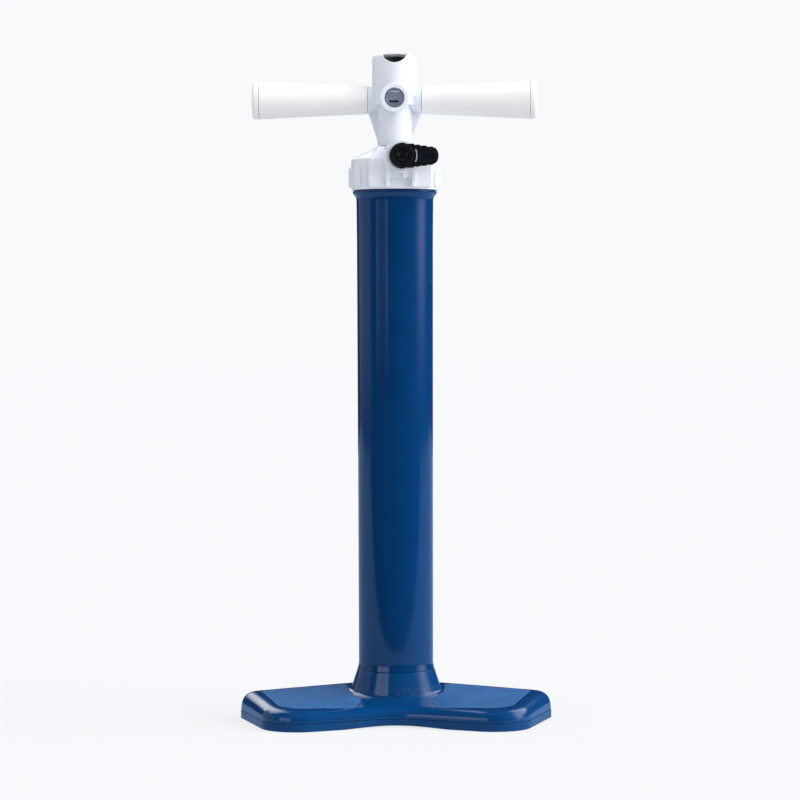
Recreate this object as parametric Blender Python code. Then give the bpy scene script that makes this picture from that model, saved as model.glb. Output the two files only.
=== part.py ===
"""Upright two-foot hand pump for inflatables: barrel on a swept foot, screw cap with a mode lever, T-handle.

All sizes below are in millimetres and are scaled to metres where a mesh is made. +Z is up, the pump's
front (hose port and lever) faces -Y, and the origin is on the barrel's axis at floor level.
"""

from math import ceil, cos, hypot, pi, radians, sin, tan

import bmesh
import bpy
from mathutils import Matrix, Vector
from mathutils.geometry import delaunay_2d_cdt

MM = 0.001
GAP = 0.3  # clearance left between touching pieces

# Barrel
BARREL_TOP_R = 35.2
BARREL_FOOT_R = 34.2
BORE_R = 31.0
THREAD_R = 35.0
SPIGOT_R = 32.9
BARREL_BOTTOM = 18.0
FLARE_TOP = 48.5
FLARE_R = 35.6
COLLAR_TOP = 43.8
RIM_R = 38.5
RIM_TOP = 483.5
BARREL_TOP = 503.0

# Foot
SKIRT_TOP = 7.5
SKIRT_PROUD = 0.5
WALL = 3.0
SHOULDER = 15.5  # width of the rounded shoulder round the foot's edge
SHOULDER_POWER = 0.75  # 1 rounds the shoulder as a quarter ellipse, less makes it fuller
FRONT_HEIGHT = 18.6
FRONT_LINE_Y = 60
FRONT_LINE_SLANT = 0.4527
RISE_AT_CENTRE = 0.113
RISE_LOST_PER_MM = 0.0005
CENTRE_ROUNDING = 12
SCREW_PLACES = [(-98, -50), (98, -50), (-54, 6), (54, 6)]

# Cap
CAP_R = 39.8
CAP_BOTTOM = 484.2
CAP_CEILING = 505.6
CAP_TOP = 523.8
CAP_TURN = radians(7)  # the cap stops a little past square when it is screwed home
BOX_HALF = 28.5
BOX_FRONT = 43.0
LUG_ANGLES = [-133, -97, -61, 61, 97, 133, 180]

# Mode selector
LEVER_Z = 513.0
BOSS_R = 14.5
BOSS_FRONT = 50.0
PLUG_R = 6.0

# Piston and rod
ROD_R = 11.0
ROD_BORE_R = 8.5
ROD_BOTTOM = 48.0
ROD_TOP = 549.5
PISTON_R = 30.4
PISTON_BOTTOM = 32.0

# Handle
HUB_BOTTOM = 524.5
HUB_STEP = 562.0
HUB_TOP = 609.0
HUB_R = 20.2
HUB_ROUNDING = 4.5
NECK_R = 15.5
ARM_Z = 567.0
ARM_END = 24.5
STUB_R = 9.3
GRIP_INNER_R = 12.9
GRIP_OUTER_R = 17.4
GRIP_FLARE_POWER = 1.15
GRIP_END = 124.0
HANDLE_HALF = 130.3
PORT_Z = 567.5
PORT_R = 13.5
PORT_BORE_R = 9.1
PORT_FRONT = 24.5
HUB_SCREW_Z = 538.0

# Gauge
GAUGE_R = 15.2
GAUGE_FLOOR = 588.0
GAUGE_CASE_TOP = 605.2

# Rotations that turn a shape's own +Z axis forward, backward, right or left
FORWARD = (pi / 2, 0, 0)
BACKWARD = (-pi / 2, 0, 0)
RIGHTWARD = (0, pi / 2, 0)
LEFTWARD = (0, -pi / 2, 0)


def clear_scene():
    for obj in list(bpy.data.objects):
        bpy.data.objects.remove(obj)


def principled(name, color, roughness, metallic=0.0, alpha=1.0):
    material = bpy.data.materials.new(name)
    material.use_nodes = True
    shader = material.node_tree.nodes["Principled BSDF"]
    shader.inputs["Base Color"].default_value = (*color, 1.0)
    shader.inputs["Roughness"].default_value = roughness
    shader.inputs["Metallic"].default_value = metallic
    shader.inputs["Alpha"].default_value = alpha
    material.diffuse_color = (*color, alpha)
    return material


# ---------------------------------------------------------------- shapes


def turning(profile, segments=32):
    """A closed form spun about Z: solid if the profile's ends are on the axis, else a ring."""
    bm = bmesh.new()
    verts = [bm.verts.new((r * MM, 0, z * MM)) for r, z in profile]
    edges = [bm.edges.new(pair) for pair in zip(verts, verts[1:])]
    if profile[0][0] > 0 or profile[-1][0] > 0:
        edges.append(bm.edges.new((verts[-1], verts[0])))
    bmesh.ops.spin(
        bm, geom=verts + edges, cent=(0, 0, 0), axis=(0, 0, 1), angle=2 * pi, steps=segments, use_merge=True
    )
    bmesh.ops.remove_doubles(bm, verts=bm.verts, dist=1e-7)
    bmesh.ops.recalc_face_normals(bm, faces=bm.faces)
    return bm


def rod_shape(radius, low, high, segments=16):
    return turning([(0, high), (radius, high), (radius, low), (0, low)], segments)


def ring_shape(inner, outer, low, high, segments=24):
    return turning([(inner, high), (outer, high), (outer, low), (inner, low)], segments)


def extrusion(outline, low, high):
    """A prism along Z over a flat outline."""
    bm = bmesh.new()
    face = bm.faces.new([bm.verts.new((x * MM, y * MM, low * MM)) for x, y in outline])
    raised = bmesh.ops.extrude_face_region(bm, geom=[face])["geom"]
    verts = [item for item in raised if isinstance(item, bmesh.types.BMVert)]
    bmesh.ops.translate(bm, verts=verts, vec=(0, 0, (high - low) * MM))
    bmesh.ops.recalc_face_normals(bm, faces=bm.faces)
    return bm


def block(low, high):
    (x0, y0, z0), (x1, y1, z1) = low, high
    return extrusion([(x0, y0), (x1, y0), (x1, y1), (x0, y1)], z0, z1)


def hull(points):
    bm = bmesh.new()
    verts = [bm.verts.new(Vector(point) * MM) for point in points]
    bmesh.ops.convex_hull(bm, input=verts)
    bmesh.ops.recalc_face_normals(bm, faces=bm.faces)
    return bm


def place(name, bm, material=None, at=(0, 0, 0), turn=(0, 0, 0), parent=None):
    mesh = bpy.data.meshes.new(name)
    bm.to_mesh(mesh)
    bm.free()
    mesh.shade_smooth()
    mesh.set_sharp_from_angle(angle=radians(35))
    if material:
        mesh.materials.append(material)
    obj = bpy.data.objects.new(name, mesh)
    obj.location = Vector(at) * MM
    obj.rotation_euler = turn
    obj.parent = parent
    bpy.context.scene.collection.objects.link(obj)
    return obj


def combine(obj, operation, bm, at=(0, 0, 0), turn=(0, 0, 0), parent=None):
    """Adds a Boolean to the object, with the shape as its hidden operand."""
    helper = place("helper", bm, None, at, turn, parent)
    helper.hide_render = True
    helper.display_type = "WIRE"
    modifier = obj.modifiers.new(operation.lower(), "BOOLEAN")
    modifier.operation = operation
    modifier.solver = "EXACT"
    modifier.object = helper


def join(obj, bm, **where):
    combine(obj, "UNION", bm, **where)


def cut(obj, bm, **where):
    combine(obj, "DIFFERENCE", bm, **where)


def axis_empty(name, at, turn=(0, 0, 0), parent=None):
    empty = bpy.data.objects.new(name, None)
    empty.location = Vector(at) * MM
    empty.rotation_euler = turn
    empty.parent = parent
    empty.empty_display_size = 0.03
    bpy.context.scene.collection.objects.link(empty)
    return empty


# ---------------------------------------------------------------- foot

# Corners of the foot's plan with their rounding radii, anticlockwise. The last is the hollow at the front.
FOOT_CORNERS = [
    ((108.9, -119.8), 34),
    ((146.5, 0.5), 17),
    ((0, 49), 50),
    ((-146.5, 0.5), 17),
    ((-108.9, -119.8), 34),
    ((0, -70.5), 50),
]
CORNER_STEPS = 5
EDGE_STEP = 20


def rounded_corner(before, corner, after, radius):
    """Points round one corner, each with its inward normal."""
    to_before = (before - corner).normalized()
    to_after = (after - corner).normalized()
    half = to_before.angle(to_after) / 2
    inward = (to_before + to_after).normalized()
    centre = corner + inward * (radius / sin(half))
    convex = to_after.cross(to_before) > 0
    start = corner + to_before * (radius / tan(half)) - centre
    end = corner + to_after * (radius / tan(half)) - centre
    sweep = start.angle_signed(end)
    found = []
    for step in range(CORNER_STEPS + 1):
        angle = -sweep * step / CORNER_STEPS
        spoke = Matrix.Rotation(angle, 2) @ start
        normal = -spoke.normalized() if convex else spoke.normalized()
        found.append((centre + spoke, normal))
    return found


def foot_plan():
    """The foot's outline as (point, inward normal) pairs, with points along its straight edges too."""
    corners = [Vector(corner) for corner, _ in FOOT_CORNERS]
    count = len(corners)
    rounds = [
        rounded_corner(corners[i - 1], corners[i], corners[(i + 1) % count], radius)
        for i, (_, radius) in enumerate(FOOT_CORNERS)
    ]
    plan = []
    for i in range(count):
        plan += rounds[i]
        (start, normal), (end, _) = rounds[i][-1], rounds[(i + 1) % count][0]
        steps = max(1, ceil((end - start).length / EDGE_STEP))
        plan += [(start.lerp(end, step / steps), normal) for step in range(1, steps)]
    return plan


def inset_plan(inset):
    return [point + normal * inset for point, normal in foot_plan()]


def foot_top(x, y):
    """Height of the foot's upper face: level along its front line, rising backwards, most at the barrel."""
    out = hypot(x, CENTRE_ROUNDING) - CENTRE_ROUNDING
    behind_front = y + FRONT_LINE_Y + FRONT_LINE_SLANT * out
    return FRONT_HEIGHT + (RISE_AT_CENTRE - RISE_LOST_PER_MM * out) * behind_front


def inside(outline, x, y):
    found = False
    for a, b in zip(outline, outline[1:] + outline[:1]):
        if (a.y > y) != (b.y > y) and x < a.x + (y - a.y) * (b.x - a.x) / (b.y - a.y):
            found = not found
    return found


def edge_distance(outline, x, y):
    return min(hypot(point.x - x, point.y - y) for point in outline)


def foot_form(inset, drop, bottom, shoulder, rings=4, grid=20):
    """The foot's outer form, moved inwards and down: a wall, a rounded shoulder and the upper face."""
    levels = [(inset, None)] if bottom < SKIRT_TOP + GAP else []
    for k in range(rings + 1):
        angle = pi / 2 * k / rings
        across = max(0.0, cos(angle)) ** SHOULDER_POWER
        levels.append((inset + shoulder * (1 - across), sin(angle) ** SHOULDER_POWER))
    bm = bmesh.new()
    loops = []
    for distance, rise in levels:
        loop = []
        for point in inset_plan(distance):
            top = foot_top(point.x, point.y) - drop
            height = bottom if rise is None else SKIRT_TOP + GAP + (top - SKIRT_TOP - GAP) * rise
            loop.append(bm.verts.new(Vector((point.x, point.y, height)) * MM))
        loops.append(loop)
    for lower, upper in zip(loops, loops[1:]):
        for i in range(len(lower)):
            bm.faces.new((lower[i - 1], lower[i], upper[i], upper[i - 1]))
    bm.faces.new(loops[0][::-1])
    rim = [Vector((vert.co.x, vert.co.y)) / MM for vert in loops[-1]]
    fill = [
        Vector((x, y))
        for x in range(-140, 141, grid)
        for y in range(-110, 45, grid)
        if inside(rim, x, y) and edge_distance(rim, x, y) > 5
    ]
    edges = [(i, (i + 1) % len(rim)) for i in range(len(rim))]
    points, _, faces, *_ = delaunay_2d_cdt(rim + fill, edges, [], 1, 1e-5)
    top = [bm.verts.new(Vector((p.x, p.y, foot_top(p.x, p.y) - drop)) * MM) for p in points]
    for face in faces:
        bm.faces.new([top[i] for i in face])
    bmesh.ops.remove_doubles(bm, verts=bm.verts, dist=1e-6)
    bmesh.ops.recalc_face_normals(bm, faces=bm.faces)
    return bm


def collar_shape():
    """The socket that holds the barrel: flush with it at the top and flaring down, with an inner ledge."""
    return turning(
        [
            (SPIGOT_R + GAP, COLLAR_TOP),
            (FLARE_R, COLLAR_TOP),
            (38.6, 35),
            (43.4, 20.5),
            (43.4, 17),
            (40.0, 14.5),
            (27.0, 14.5),
            (27.0, BARREL_BOTTOM - GAP),
            (SPIGOT_R + GAP, BARREL_BOTTOM - GAP),
        ]
    )


def make_base_shell(material):
    shell = place("base_shell", foot_form(0, 0, SKIRT_TOP + GAP, SHOULDER), material)
    cut(shell, foot_form(WALL, WALL, 4, SHOULDER - WALL, rings=3, grid=40))
    cut(shell, rod_shape(36, -1, 60, 32))
    join(shell, collar_shape())
    for x, y in SCREW_PLACES:
        top = foot_top(x, y) - WALL / 2
        boss = [(0, top), (6, top), (6, 6.3), (2.2, 6.3), (2.2, 19), (0, 19)]
        join(shell, turning(boss, 16), at=(x, y, 0))


def make_base_plate(material):
    """The tray under the foot: a floor, a skirt a little proud of the shell, and screw pillars."""
    plate = place("base_plate", extrusion(inset_plan(-SKIRT_PROUD), 0, SKIRT_TOP), material)
    cut(plate, extrusion(inset_plan(2.5), 2.5, SKIRT_TOP + 2))
    for x, y in SCREW_PLACES:
        join(plate, rod_shape(7, 1, 6, 16), at=(x, y, 0))
        cut(plate, rod_shape(4.2, -1, 3.2, 12), at=(x, y, 0))
        cut(plate, rod_shape(2.2, 2, 8, 12), at=(x, y, 0))
    arch_half = 45
    arch_rise = 1.5
    arch = [(x, arch_rise * (1 - (x / arch_half) ** 2)) for x in range(-arch_half, arch_half + 1, 9)]
    cut(plate, extrusion([(arch_half, -5), (-arch_half, -5)] + arch, 66, 130), turn=FORWARD)


def make_base_screws(material):
    profile = [(0, 2.2), (1.2, 2.2), (1.2, 0.8), (3.9, 0.8), (3.9, 2.9), (1.9, 2.9), (1.9, 17.5), (0, 18.5)]
    for number, (x, y) in enumerate(SCREW_PLACES, 1):
        place(f"base_screw_{number}", turning(profile, 12), material, at=(x, y, 0))


# ---------------------------------------------------------------- barrel and its foot valve


def make_barrel_tube(material):
    profile = [
        (BORE_R, BARREL_TOP),
        (THREAD_R, BARREL_TOP),
        (THREAD_R, RIM_TOP),
        (RIM_R, RIM_TOP),
        (RIM_R, RIM_TOP - 2),
        (BARREL_TOP_R, RIM_TOP - 5.7),
        (BARREL_FOOT_R, FLARE_TOP),
        (FLARE_R, COLLAR_TOP + GAP),
        (SPIGOT_R, COLLAR_TOP + GAP),
        (SPIGOT_R, BARREL_BOTTOM),
        (BORE_R, BARREL_BOTTOM),
    ]
    place("barrel_tube", turning(profile), material)


def make_cylinder_foot(plastic, rubber):
    """The plug that closes the barrel's lower end, with the intake valve's seat in it."""
    body = [
        (12.3, 30),
        (30.7, 30),
        (30.7, 25.5),
        (28.3, 25.5),
        (28.3, 22),
        (30.7, 22),
        (30.7, BARREL_BOTTOM),
        (6, BARREL_BOTTOM),
        (6, 24),
        (12.3, 24),
    ]
    place("cylinder_foot", turning(body, 24), plastic)
    outer_half = [(30.7, 24.5), (30.7, 23), (30.2, 22.3), (29.2, 22.3)]
    ring = [(28.6, 23), (28.6, 24.5), (29.2, 25.2), (30.2, 25.2)] + outer_half
    place("foot_oring", turning(ring, 24), rubber)
    place("foot_valve_cage", ring_shape(7.5, 12, 28.2, 29.8, 24), plastic)
    place("foot_valve_disc", rod_shape(9.5, 24.3, 26.3), rubber)


# ---------------------------------------------------------------- cap


def cap_shell_shape():
    return turning(
        [
            (0, CAP_TOP),
            (16.6, CAP_TOP),
            (17.2, CAP_TOP - 0.6),
            (38.6, 513.0),
            (CAP_R, 511.5),
            (CAP_R, CAP_BOTTOM + 0.7),
            (CAP_R - 0.7, CAP_BOTTOM),
            (0, CAP_BOTTOM),
        ]
    )


def cap_hollow_shape():
    """The room for the barrel's thread, round a central boss that holds the rod's bush and seal."""
    return turning(
        [
            (0, CAP_BOTTOM - 4),
            (THREAD_R + 0.4, CAP_BOTTOM - 4),
            (THREAD_R + 0.4, CAP_CEILING),
            (16.8, CAP_CEILING),
            (16.8, 498),
            (13.2, 498),
            (13.2, 519.5),
            (12.0, 519.5),
            (12.0, CAP_TOP + 4),
            (0, CAP_TOP + 4),
        ]
    )


def box_shape():
    """The valve box on the cap's front, with a hipped roof that leans back against the cap's cone."""
    corners = [(side * BOX_HALF, y, z) for side in (-1, 1) for y in (-BOX_FRONT, -20) for z in (485.6, 510.8)]
    ridge = [(side * 17, y, CAP_TOP - 0.2) for side in (-1, 1) for y in (-17, -4)]
    return hull(corners + ridge)


def make_cap(material, frame):
    cap = place("cap", cap_shell_shape(), material, parent=frame)
    join(cap, box_shape(), parent=frame)
    for angle in LUG_ANGLES:
        join(cap, block((-4, -42.3, 487), (4, -37, 504.5)), turn=(0, 0, radians(angle)), parent=frame)
    join(cap, block((-13.6, -47, 485.6), (13.6, -41, 508)), parent=frame)
    cut(cap, block((-10.2, -60, 494.5), (10.2, -45.2, 509)), parent=frame)
    cut(cap, block((-10.2, -60, 480), (10.2, -41, 494.6)), parent=frame)
    join(cap, rod_shape(BOSS_R, 20, BOSS_FRONT, 32), at=(0, 0, LEVER_Z), turn=FORWARD, parent=frame)
    join(cap, block((1.4, -48.5, 493), (4.6, -44, 503)), parent=frame)
    cut(cap, cap_hollow_shape(), parent=frame)
    cut(cap, rod_shape(2.2, 500, 532, 12), at=(0, -30, 0), turn=(0, 0, radians(8)), parent=frame)
    cut(cap, rod_shape(PLUG_R + GAP, 22, 60), at=(0, 0, LEVER_Z), turn=FORWARD, parent=frame)


def make_cap_inside(plastic, rubber):
    place("cap_gasket", ring_shape(31.3, 35.1, BARREL_TOP + GAP, CAP_CEILING - GAP), rubber)
    place("rod_bush", ring_shape(ROD_R + 0.15, 12.9, 505, 519.2), plastic)
    lip = [(ROD_R + 0.15, 504.7), (12.9, 504.7), (12.9, 499), (12.2, 499), (12.0, 501.5), (ROD_R + 0.15, 499)]
    place("rod_seal", turning(lip, 24), rubber)
    place("bumper", ring_shape(ROD_R + 0.6, 16.5, 490.3, 497.7), rubber)


def lever_outline():
    """A round head with an arm whose edges step down four times to a rounded tip."""
    steps = [(10.6, 10.7), (9.7, 16.0), (8.9, 22.2), (8.0, 28.1)]
    edge = []
    for (height, end), start in zip(steps, [3.0] + [end for _, end in steps]):
        edge += [(start, height), (end, height)]
    edge += [(31.2, 5.6), (32.6, 2.6)]
    head = [(11.6 * cos(angle), 11.6 * sin(angle)) for angle in (radians(75 + 15 * k) for k in range(1, 14))]
    return [(x, -y) for x, y in reversed(edge)][::-1] + [(x, y) for x, y in reversed(edge)] + head


def make_selector(plastic, metal, white, rubber, axis):
    arm = extrusion(lever_outline(), BOSS_FRONT + 0.6, 60)
    lever = place("selector_lever", arm, plastic, turn=FORWARD, parent=axis)
    cut(lever, rod_shape(5.2, 57, 62), turn=FORWARD, parent=axis)
    cut(lever, rod_shape(2.0, 48, 62, 12), turn=FORWARD, parent=axis)
    head = [(0, 58.4), (1.3, 58.4), (1.3, 59.4), (4.2, 59.4), (4.7, 58.9), (4.7, 57.3)]
    screw = head + [(1.7, 57.3), (1.7, 42.5), (0, 42)]
    place("selector_screw", turning(screw, 12), metal, turn=FORWARD, parent=axis)
    body = [
        (0, 22.5),
        (PLUG_R, 22.5),
        (PLUG_R, 39.9),
        (4.6, 39.9),
        (4.6, 42.6),
        (PLUG_R, 42.6),
        (PLUG_R, BOSS_FRONT + 0.3),
        (2.0, BOSS_FRONT + 0.3),
        (2.0, 41),
        (0, 41),
    ]
    plug = place("selector_plug", turning(body, 24), white, turn=FORWARD, parent=axis)
    cut(plug, rod_shape(2.2, -10, 10, 12), at=(0, -30, 0), turn=RIGHTWARD, parent=axis)
    place("selector_oring", ring_shape(4.9, 6.1, 40.3, 42.2, 16), rubber, turn=FORWARD, parent=axis)


# ---------------------------------------------------------------- piston and rod


def make_piston(plastic, rubber, metal):
    body = [
        (ROD_R + GAP, 62),
        (16, 62),
        (16, 46),
        (22, 46),
        (22, 38),
        (PISTON_R, 38),
        (PISTON_R, PISTON_BOTTOM),
        (6, PISTON_BOTTOM),
        (6, 36),
        (9.5, 36),
        (9.5, ROD_BOTTOM - GAP),
        (ROD_R + GAP, ROD_BOTTOM - GAP),
    ]
    place("piston_body", turning(body, 24), plastic)
    lips = [(22.3, 45.7), (24.2, 45.7), (25, 41.5), (27.8, 41.5), (28.8, 45.7), (30.7, 45.7)]
    place("piston_seal", turning(lips + [(30.7, 38.3), (22.3, 38.3)], 24), rubber)
    place("piston_crown", ring_shape(16.3, PISTON_R, 46.3, 50.3), plastic)
    nut = place("piston_nut", rod_shape(21, 50.6, 57, 6), metal)
    cut(nut, rod_shape(16.3, 49, 59, 24))
    place("piston_valve_disc", rod_shape(8.5, 36.3, 38.3), rubber)
    rod = place("piston_rod", ring_shape(ROD_BORE_R, ROD_R, ROD_BOTTOM, ROD_TOP, 32), metal)
    cut(rod, rod_shape(2.2, 5, 14, 12), at=(0, 0, HUB_SCREW_Z), turn=BACKWARD)


# ---------------------------------------------------------------- handle


def hub_shape():
    profile = [(0, HUB_TOP)]
    for k in range(5):
        angle = pi / 8 * k
        profile.append((HUB_R - HUB_ROUNDING * (1 - sin(angle)), HUB_TOP - HUB_ROUNDING * (1 - cos(angle))))
    profile += [(HUB_R, HUB_STEP), (NECK_R, HUB_STEP), (NECK_R, HUB_BOTTOM), (0, HUB_BOTTOM)]
    return turning(profile)


def make_hub(material):
    hub = place("hub", hub_shape(), material)
    flare = [(0, -2), (10, -2), (10, 15), (12.6, ARM_END)]
    stub = [(STUB_R, ARM_END), (STUB_R, 95), (6.5, 95), (6.5, 32), (0, 32)]
    for side in (RIGHTWARD, LEFTWARD):
        join(hub, turning(flare + stub, 24), at=(0, 0, ARM_Z), turn=side)
    gusset = [(-24.3, 0), (-24.3, -11.5), (-15.2, -38.5), (15.2, -38.5), (24.3, -11.5), (24.3, 0)]
    join(hub, extrusion(gusset, -2.2, 2.2), at=(0, 0, ARM_Z), turn=FORWARD)
    join(hub, rod_shape(PORT_R, 0, PORT_FRONT, 28), at=(0, 0, PORT_Z), turn=FORWARD)
    bore = [
        (0, HUB_TOP + 5),
        (GAUGE_R + GAP, HUB_TOP + 5),
        (GAUGE_R + GAP, GAUGE_FLOOR),
        (6.3, GAUGE_FLOOR),
        (6.3, GAUGE_FLOOR - 2.5),
        (4.3, GAUGE_FLOOR - 2.5),
        (4.3, ROD_TOP + 0.5),
        (ROD_R + GAP, ROD_TOP + 0.5),
        (ROD_R + GAP, HUB_BOTTOM - 4),
        (0, HUB_BOTTOM - 4),
    ]
    cut(hub, turning(bore))
    cut(hub, rod_shape(12.4, 12, 25, 32), at=(0, 0, 612.4), turn=FORWARD)
    screw_hole = [(0, 20), (3.9, 20), (3.9, 13.3), (2.2, 13.3), (2.2, 9), (0, 9)]
    cut(hub, turning(screw_hole, 12), at=(0, 0, HUB_SCREW_Z), turn=BACKWARD)
    port = [(0, 30), (PORT_BORE_R, 30), (PORT_BORE_R, 11.5), (3.5, 11.5), (3.5, 1), (0, 1)]
    cut(hub, turning(port, 28), at=(0, 0, PORT_Z), turn=FORWARD)


def make_hub_screw(material):
    head = [(0, 14.4), (1.2, 14.4), (1.2, 15.2), (3.6, 15.2), (3.6, 13.6)]
    profile = head + [(1.9, 13.6), (1.9, 9.4), (0, 9.4)]
    place("hub_screw", turning(profile, 12), material, at=(0, 0, HUB_SCREW_Z), turn=BACKWARD)


def make_grips(material):
    """Hollow grips that slide over the hub's stubs and widen outwards, each closed by a plugged end cap."""
    stations = 5
    grip = [(STUB_R + GAP, GRIP_END), (GRIP_OUTER_R, GRIP_END)]
    for k in range(1, stations + 1):
        share = 1 - k / stations
        radius = GRIP_INNER_R + (GRIP_OUTER_R - GRIP_INNER_R) * share**GRIP_FLARE_POWER
        grip.append((radius, ARM_END + GAP + (GRIP_END - ARM_END) * share))
    grip.append((STUB_R + GAP, ARM_END + GAP))
    edge = HANDLE_HALF - 4
    cap = [(0, HANDLE_HALF)]
    cap += [(GRIP_OUTER_R - 4 * (1 - sin(a)), edge + 4 * cos(a)) for a in (pi / 6 * k for k in range(4))]
    cap += [(GRIP_OUTER_R, GRIP_END + GAP), (STUB_R, GRIP_END + GAP), (STUB_R, 112), (0, 112)]
    for side, turn in (("left", LEFTWARD), ("right", RIGHTWARD)):
        place(f"grip_{side}", turning(grip, 28), material, at=(0, 0, ARM_Z), turn=turn)
        place(f"grip_cap_{side}", turning(cap, 28), material, at=(0, 0, ARM_Z), turn=turn)


def make_port_insert(material):
    """The wall at the back of the hose port, with the air slot and a ledge above it."""
    wall = rod_shape(PORT_BORE_R - GAP, 11.8, 14, 28)
    insert = place("port_insert", wall, material, at=(0, 0, PORT_Z), turn=FORWARD)
    join(insert, block((-5, -14.8, 573.2), (5, -13, 574.5)))
    cut(insert, block((-5, -20, 563.7), (3.6, -10, 566)))


# ---------------------------------------------------------------- gauge


def make_gauge(black, brass, white, clear, rubber):
    case = [
        (13.2, GAUGE_CASE_TOP),
        (GAUGE_R, GAUGE_CASE_TOP),
        (GAUGE_R, GAUGE_FLOOR + GAP),
        (4.3, GAUGE_FLOOR + GAP),
        (4.3, 592),
        (13.2, 592),
    ]
    place("gauge_case", turning(case), black)
    stem = [(1.5, 593.6), (5.5, 593.6), (5.5, 592.3), (4, 592.3), (4, 577), (1.5, 577)]
    place("gauge_stem", turning(stem, 12), brass)
    place("gauge_oring", ring_shape(4.3, 6, GAUGE_FLOOR - 2.2, GAUGE_FLOOR - 0.2, 16), rubber)
    place("gauge_dial", ring_shape(1.3, 12.9, 600.8, 601.8, 24), white)
    place("gauge_lens", rod_shape(GAUGE_R - 0.1, GAUGE_CASE_TOP + GAP, HUB_TOP - 0.4, 32), clear)
    make_bourdon_tube(brass)


def make_bourdon_tube(material):
    """The curved tube that straightens under pressure and drives the needle."""
    sweep = radians(270)
    count = 16
    curve = bpy.data.curves.new("bourdon_tube", "CURVE")
    curve.dimensions = "3D"
    curve.bevel_depth = 1.2 * MM
    curve.bevel_resolution = 1
    curve.use_fill_caps = True
    spline = curve.splines.new("POLY")
    spline.points.add(count - 1)
    for k, point in enumerate(spline.points):
        angle = sweep * k / (count - 1)
        point.co = (9 * cos(angle) * MM, 9 * sin(angle) * MM, 597 * MM, 1)
    curve.materials.append(material)
    obj = bpy.data.objects.new("bourdon_tube", curve)
    bpy.context.scene.collection.objects.link(obj)


def make_needle(material):
    """The pointer, which rests at the lower end of the dial's scale."""
    needle = place("gauge_needle", rod_shape(2.2, 602.3, 603.3, 16), material)
    corners = ((-0.9, 3), (0.9, 3), (-0.35, -11), (0.35, -11))
    pointer = hull([(x, y, z) for x, y in corners for z in (602.4, 603.2)])
    join(needle, pointer, turn=(0, 0, radians(-45)))
    join(needle, rod_shape(0.9, 599.5, 602.8, 12))


def build():
    clear_scene()
    blue = principled("blue_gloss", (0.008, 0.07, 0.19), 0.12)
    blue_matt = principled("blue_satin", (0.012, 0.09, 0.24), 0.3)
    white = principled("white_plastic", (0.78, 0.81, 0.88), 0.35)
    grip_white = principled("grip_white", (0.8, 0.8, 0.8), 0.5)
    black = principled("black_plastic", (0.008, 0.009, 0.012), 0.3)
    grey = principled("grey_plastic", (0.2, 0.22, 0.26), 0.45)
    clear = principled("clear_lens", (0.9, 0.93, 0.95), 0.05, alpha=0.35)
    rubber = principled("black_rubber", (0.012, 0.012, 0.012), 0.7)
    steel = principled("zinc_steel", (0.6, 0.6, 0.62), 0.3, 1.0)
    rod_metal = principled("rod_aluminium", (0.75, 0.76, 0.78), 0.22, 1.0)
    brass = principled("brass", (0.7, 0.5, 0.2), 0.3, 1.0)

    make_base_shell(blue_matt)
    make_base_plate(blue_matt)
    make_base_screws(steel)
    make_barrel_tube(blue)
    make_cylinder_foot(grey, rubber)

    cap_frame = axis_empty("cap_frame", (0, 0, 0), (0, 0, CAP_TURN))
    selector_axis = axis_empty("selector_axis", (0, 0, LEVER_Z), parent=cap_frame)
    make_cap(white, cap_frame)
    make_cap_inside(grey, rubber)
    make_selector(black, steel, white, rubber, selector_axis)

    make_piston(grey, rubber, rod_metal)
    make_hub(white)
    make_hub_screw(steel)
    make_grips(grip_white)
    make_port_insert(grey)
    make_gauge(black, brass, white, clear, rubber)
    make_needle(black)


build()
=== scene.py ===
from math import ceil, cos, hypot, pi, radians, sin, tan

import bmesh
import bpy
from mathutils import Matrix, Vector
from mathutils.geometry import delaunay_2d_cdt


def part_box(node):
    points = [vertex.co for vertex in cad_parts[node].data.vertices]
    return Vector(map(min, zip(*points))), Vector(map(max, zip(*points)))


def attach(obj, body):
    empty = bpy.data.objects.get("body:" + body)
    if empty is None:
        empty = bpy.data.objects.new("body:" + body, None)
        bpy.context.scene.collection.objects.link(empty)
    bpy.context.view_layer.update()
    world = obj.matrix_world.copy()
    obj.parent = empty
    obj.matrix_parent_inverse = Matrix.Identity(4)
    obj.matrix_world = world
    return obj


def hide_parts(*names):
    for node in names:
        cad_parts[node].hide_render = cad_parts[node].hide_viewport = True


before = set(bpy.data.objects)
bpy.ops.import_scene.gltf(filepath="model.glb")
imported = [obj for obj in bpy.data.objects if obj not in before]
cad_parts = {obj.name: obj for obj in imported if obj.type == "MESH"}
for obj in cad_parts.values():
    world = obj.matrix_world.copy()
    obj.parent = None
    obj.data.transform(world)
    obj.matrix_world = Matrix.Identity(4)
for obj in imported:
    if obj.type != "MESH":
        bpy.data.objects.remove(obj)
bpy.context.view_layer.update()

# Looks of an upright two-foot hand pump. Sizes are in millimetres and are scaled to metres where a mesh is
# made. The origin is on the barrel's axis at floor level, +Z is up and the pump's front faces -Y.
MM = 0.001
GAP = 0.3

# Turns that take a shape's own +Z axis forward, backward, right or left
FORWARD = Matrix.Rotation(pi / 2, 4, "X")
BACKWARD = Matrix.Rotation(-pi / 2, 4, "X")
RIGHTWARD = Matrix.Rotation(pi / 2, 4, "Y")
LEFTWARD = Matrix.Rotation(-pi / 2, 4, "Y")
SQUARE = Matrix.Identity(4)
CAP_FRAME = Matrix.Rotation(radians(7), 4, "Z")  # the cap stops a little past square when it is screwed home


def at(x=0, y=0, z=0):
    return Matrix.Translation(Vector((x, y, z)) * MM)


def extent(node):
    """Lowest and highest corners of a node of the frame, to a hundredth of a millimetre."""
    return [Vector([round(value / MM, 2) for value in corner]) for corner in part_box(node)]


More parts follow.
